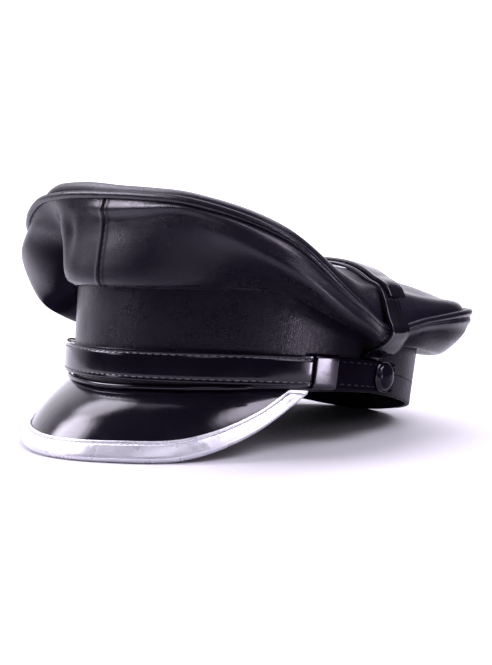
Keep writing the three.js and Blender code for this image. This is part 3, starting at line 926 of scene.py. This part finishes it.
def stitch_nodes(material):
    """Nodes that lay stitches along lines: each an oval of thread, its size a little uneven"""
    tree = bpy.data.node_groups.new("stitch_row", "GeometryNodeTree")
    tree.is_modifier = True
    face = tree.interface
    face.new_socket("Lines", in_out="INPUT", socket_type="NodeSocketGeometry")
    for name in ("Pitch", "Length", "Thickness"):
        face.new_socket(name, in_out="INPUT", socket_type="NodeSocketFloat")
    face.new_socket("Seed", in_out="INPUT", socket_type="NodeSocketInt")
    face.new_socket("Stitches", in_out="OUTPUT", socket_type="NodeSocketGeometry")
    given = tree.nodes.new("NodeGroupInput")
    result = tree.nodes.new("NodeGroupOutput")

    def add(kind, **settings):
        made = tree.nodes.new(kind)
        for key, value in settings.items():
            setattr(made, key, value)
        return made

    def link(source, target):
        tree.links.new(source, target)

    line = add("GeometryNodeMeshToCurve")
    spaced = add("GeometryNodeResampleCurve", mode="LENGTH")
    link(given.outputs["Lines"], line.inputs["Mesh"])
    link(line.outputs["Curve"], spaced.inputs["Curve"])
    link(given.outputs["Pitch"], spaced.inputs["Length"])

    ball = add("GeometryNodeMeshUVSphere")
    ball.inputs["Segments"].default_value = 12
    ball.inputs["Rings"].default_value = 10
    ball.inputs["Radius"].default_value = 0.5
    size = add("ShaderNodeCombineXYZ")
    link(given.outputs["Length"], size.inputs["X"])
    link(given.outputs["Thickness"], size.inputs["Y"])
    link(given.outputs["Thickness"], size.inputs["Z"])
    stitch = add("GeometryNodeTransform")
    link(ball.outputs["Mesh"], stitch.inputs["Geometry"])
    link(size.outputs["Vector"], stitch.inputs["Scale"])

    tangent = add("GeometryNodeInputTangent")
    along = add("FunctionNodeAlignRotationToVector", axis="X")
    link(tangent.outputs["Tangent"], along.inputs["Vector"])
    away = add("GeometryNodeInputNamedAttribute", data_type="FLOAT_VECTOR")
    away.inputs["Name"].default_value = "away"
    upright = add("FunctionNodeAlignRotationToVector", axis="Z", pivot_axis="X")
    link(along.outputs["Rotation"], upright.inputs["Rotation"])
    link(away.outputs["Attribute"], upright.inputs["Vector"])
    vary = add("FunctionNodeRandomValue", data_type="FLOAT")
    vary.inputs[2].default_value = 0.9
    vary.inputs[3].default_value = 1.08
    link(given.outputs["Seed"], vary.inputs["Seed"])

    laid = add("GeometryNodeInstanceOnPoints")
    link(spaced.outputs["Curve"], laid.inputs["Points"])
    link(stitch.outputs["Geometry"], laid.inputs["Instance"])
    link(upright.outputs["Rotation"], laid.inputs["Rotation"])
    link(vary.outputs[1], laid.inputs["Scale"])
    real = add("GeometryNodeRealizeInstances")
    link(laid.outputs["Instances"], real.inputs["Geometry"])
    finish = add("GeometryNodeSetMaterial")
    finish.inputs["Material"].default_value = material
    link(real.outputs["Geometry"], finish.inputs["Geometry"])
    link(finish.outputs["Geometry"], result.inputs["Stitches"])
    return tree


def stitched(name, lines, material, slot, stitch, seed):
    """Piece of stitches along lines, each a pair of upright points and the directions off the leather"""
    pitch, length, thickness = stitch
    places = np.concatenate([rest(points) for points, _ in lines])
    tipped = Matrix.Rotation(-PITCH, 3, "Y")
    away = np.concatenate([directions for _, directions in lines]) @ np.array(tipped).T
    edges = []
    count = 0
    for points, _ in lines:
        edges += [(count + k, count + k + 1) for k in range(len(points) - 1)]
        count += len(points)
    carrier_mesh = bpy.data.meshes.new(name + "_line")
    carrier_mesh.from_pydata(places.tolist(), edges, [])
    facing = carrier_mesh.attributes.new("away", "FLOAT_VECTOR", "POINT")
    facing.data.foreach_set("vector", away.astype(np.float32).ravel())
    carrier = in_scene(name + "_line", carrier_mesh)
    tree = stitch_nodes(material)
    modifier = carrier.modifiers.new("stitches", "NODES")
    modifier.node_group = tree
    sizes = {"Pitch": pitch * MM, "Length": length * MM, "Thickness": thickness * MM, "Seed": seed}
    for item in tree.interface.items_tree:
        if item.in_out == "INPUT" and item.name in sizes:
            modifier[item.identifier] = sizes[item.name]
    evaluated = carrier.evaluated_get(bpy.context.evaluated_depsgraph_get())
    mesh = bpy.data.meshes.new_from_object(evaluated)
    mesh.name = name
    mesh.shade_smooth()
    bpy.data.objects.remove(carrier)
    return dressed(in_scene(name, mesh), slot)


def strap_row(start, end, side, out):
    """Line of stitches along a chin strap"""
    angle = np.linspace(start, end, 300)
    raised = out(angle) + LEATHER + 0.02
    points = beside(angle, raised, strap_up(angle) + side)
    return points, beside(angle, raised + 1, strap_up(angle) + side) - points


def trim_row(start, end):
    """Line of stitches near the inner edge of the peak's binding"""
    angle = np.linspace(start, end, 300)
    distance = np.maximum(peak_lengths(angle) - TRIM["width"], TRIM["wall"]) + TRIM["stitch_inset"]
    raised = GAP + TRIM["wall"] + 0.05
    points, above = (
        peak_lines(angle, np.stack((distance, np.full_like(distance, raised + more)), -1)[:, None])[:, 0]
        for more in (0, 1)
    )
    return points, above - points


def seam_row(angle, start, end):
    """Line of stitches down a seam of the crown's side"""
    along = np.linspace(start, end, 90)
    turned = angle + np.array((-0.4, 0, 0.4))
    points = side_points(turned, side_lines(turned, along))
    away = -grid_normals(points)[1]
    relief = side_relief(np.array([angle]), along)[0] + unevenness(points[1], **SIDE_UNEVENNESS)
    return points[1] + away * (relief[:, None] + 0.05), away


# Studio

def toward(azimuth, elevation, distance):
    """Place at a distance from the aim"""
    a, e = math.radians(azimuth), math.radians(elevation)
    way = Vector((math.cos(a) * math.cos(e), math.sin(a) * math.cos(e), math.sin(e)))
    return Vector(VIEW["aim"]) + way * distance


def aimed(place):
    """Turn of a camera or lamp that looks from a place at the aim"""
    return (Vector(VIEW["aim"]) - place).to_track_quat("-Z", "Y").to_euler()


def camera():
    lens = bpy.data.cameras.new("camera")
    lens.lens = VIEW["lens"]
    lens.clip_start = 0.01
    seen = in_scene("camera", lens)
    seen.location = toward(VIEW["azimuth"], VIEW["elevation"], VIEW["distance"])
    seen.rotation_euler = aimed(seen.location)
    bpy.context.scene.camera = seen


def softbox(name, turned, elevation, distance, size, brightness):
    """Lamp turned from the camera's side and aimed at the cap, there for its highlights only"""
    light = bpy.data.lights.new(name, "AREA")
    light.shape = "RECTANGLE"
    light.size, light.size_y = size
    light.energy = brightness * math.pi * size[0] * size[1]
    light.color = (0.90, 0.84, 1.0)
    lamp = in_scene(name, light)
    lamp.location = toward(VIEW["azimuth"] + turned, elevation, distance)
    lamp.rotation_euler = aimed(lamp.location)
    lamp.visible_camera = False
    lamp.visible_diffuse = False


def leaning(tree, where, turned, elevation):
    """How far a direction leans to one turned from the camera's side, -1 to 1"""
    made = tree.nodes.new("ShaderNodeVectorMath")
    made.operation = "DOT_PRODUCT"
    made.inputs[1].default_value = toward(VIEW["azimuth"] + turned, elevation, 1) - Vector(VIEW["aim"])
    tree.links.new(where, made.inputs[0])
    return made.outputs["Value"]


def joined(tree, operation, first, second):
    """Sum or product of two values"""
    made = tree.nodes.new("ShaderNodeMath")
    made.operation = operation
    tree.links.new(first, made.inputs[0])
    tree.links.new(second, made.inputs[1])
    return made.outputs["Value"]


def soft_light(tree, where, turned, elevation, inner, outer, strength):
    """Round light that fades softly to its edge"""
    edges = (math.cos(math.radians(outer)), math.cos(math.radians(inner)))
    made = spread(tree, leaning(tree, where, turned, elevation), 0.0, strength, *edges)
    made.node.interpolation_type = "SMOOTHSTEP"
    return made


def studio_world():
    """Surround, bright behind the cap and dim to the camera's side, right and above, with soft lights"""
    world = bpy.data.worlds.new("studio")
    world.use_nodes = True
    tree = world.node_tree
    tree.nodes.clear()
    where = tree.nodes.new("ShaderNodeTexCoord").outputs["Generated"]
    height = add_node(tree, "ShaderNodeSeparateXYZ", Vector=where).outputs["Z"]
    behind = spread(tree, leaning(tree, where, 0, 0), 1.9, 0.02, -0.88, -0.2)
    not_right = spread(tree, leaning(tree, where, 90, 0), 1.0, 0.08, 0.3, 0.55)
    low = spread(tree, height, 1.0, 0.15, 0.35, 0.85)
    total = joined(tree, "MULTIPLY", joined(tree, "MULTIPLY", behind, not_right), low)
    for light in SOFT_LIGHTS:
        total = joined(tree, "ADD", total, soft_light(tree, where, *light))
    background = add_node(tree, "ShaderNodeBackground", Color=(0.93, 0.89, 1.0, 1), Strength=total)
    add_node(tree, "ShaderNodeOutputWorld", Surface=background.outputs["Background"])
    bpy.context.scene.world = world


def floor():
    """Pale floor, wide and deep behind the cap, that ends a little before it"""
    mesh = bpy.data.meshes.new("floor")
    corners = [(0.4, -0.3), (0.4, 0.3), (-8, 4), (-8, -4), (0.05, -1.0)]
    mesh.from_pydata([(*corner, 0) for corner in corners], [], [(0, 1, 2, 3, 4)])
    material, tree, shader = new_material("pale_floor")
    tone = mix_colours(tree, noise(tree, 0.8), (0.54, 0.53, 0.565), (0.57, 0.56, 0.595))
    feed(tree, shader, Base_Color=tone, Roughness=0.6)
    mesh.materials.append(material)
    ground = in_scene("floor", mesh)
    ground.rotation_euler.z = math.radians(VIEW["azimuth"])


camera()
studio_world()
floor()
softbox("strip", turned=57, elevation=-2.8, distance=0.875, size=(0.18, 0.13), brightness=36)
bpy.context.scene.view_settings.view_transform = "Standard"

# The cap

on_top = 4 * GAP
on_lower_half = on_top + CROWN_STRAP["thickness"] + GAP
buttoned = BUTTON["angle"] + STRAP["past_button"]
seam = 0.02

dressed(top_panel(), "leather", "crown_top")
dressed(crown_piping(), "leather", "crown_piping")
dressed(crown_side("side_panel_left", seam, 180 - seam), "leather", "crown_side_left")
dressed(crown_side("side_panel_right", seam - 180, -seam), "leather", "crown_side_right")
dressed(band(), "leather", "band")
dressed(rim_binding(), "leather", "rim_binding")
dressed(peak(), "patent", "peak")
dressed(peak_binding(), "silver", "peak_trim")
dressed(peak_welt(), "patent", "peak_welt")
dressed(
    chin_strap("strap_under", STRAP_ENDS["inner"], buttoned, on_band),
    "patent", "chin_strap_inner",
)
dressed(
    chin_strap("strap_over", -buttoned, STRAP_ENDS["outer"], on_inner_strap),
    "patent", "chin_strap_outer",
)
for side, (angle, width) in KEEPERS.items():
    dressed(keeper("strap_loop_" + side, angle, width), "patent", "keeper_" + side)
for side, angle in (("left", BUTTON["angle"]), ("right", -BUTTON["angle"])):
    dressed(button("dome_button_" + side, angle), "patent", "button_" + side)
dressed(
    crown_strap("strap_across_lower", 1, CROWN_STRAP_ENDS["lower"], lambda across: on_top),
    "patent", "crown_strap_lower",
)
dressed(
    crown_strap(
        "strap_across_upper", -1, CROWN_STRAP_ENDS["upper"],
        lambda across: lerp(on_lower_half, on_top, smoothstep(across, *UPPER_STEPS_UP)),
    ),
    "patent", "crown_strap_upper",
)

rows = [side * (STRAP["width"] / 2 - STRAP["stitch_inset"]) for side in (-1, 1)]
outer_from, outer_to = 2 - buttoned, STRAP_ENDS["outer"] - 1.4
strap_rows = [strap_row(outer_from, outer_to, row, on_inner_strap) for row in rows]
# The outer strap's rows, in the thread whose lighter colour is a painted glint
stitched("strap_stitches", strap_rows, glint_painted_thread, "patent", STRAP_STITCHES, 1)

past_loop = 76.5
button_rows = [strap_row(past_loop, buttoned - 1, row, on_band) for row in rows]
stitched("button_end_stitches", button_rows, black_thread, "patent", STRAP_STITCHES, 4)

trim_reach = 58
stitched("peak_stitches", [trim_row(-trim_reach, trim_reach)], silver_thread, "silver", PEAK_STITCHES, 2)

beside_seam = 0.55
seam_rows = [seam_row(angle, 0.25, 2.9) for angle in (beside_seam, 180 - beside_seam)]
stitched("seam_stitches", seam_rows, black_thread, "leather", SEAM_STITCHES, 3)
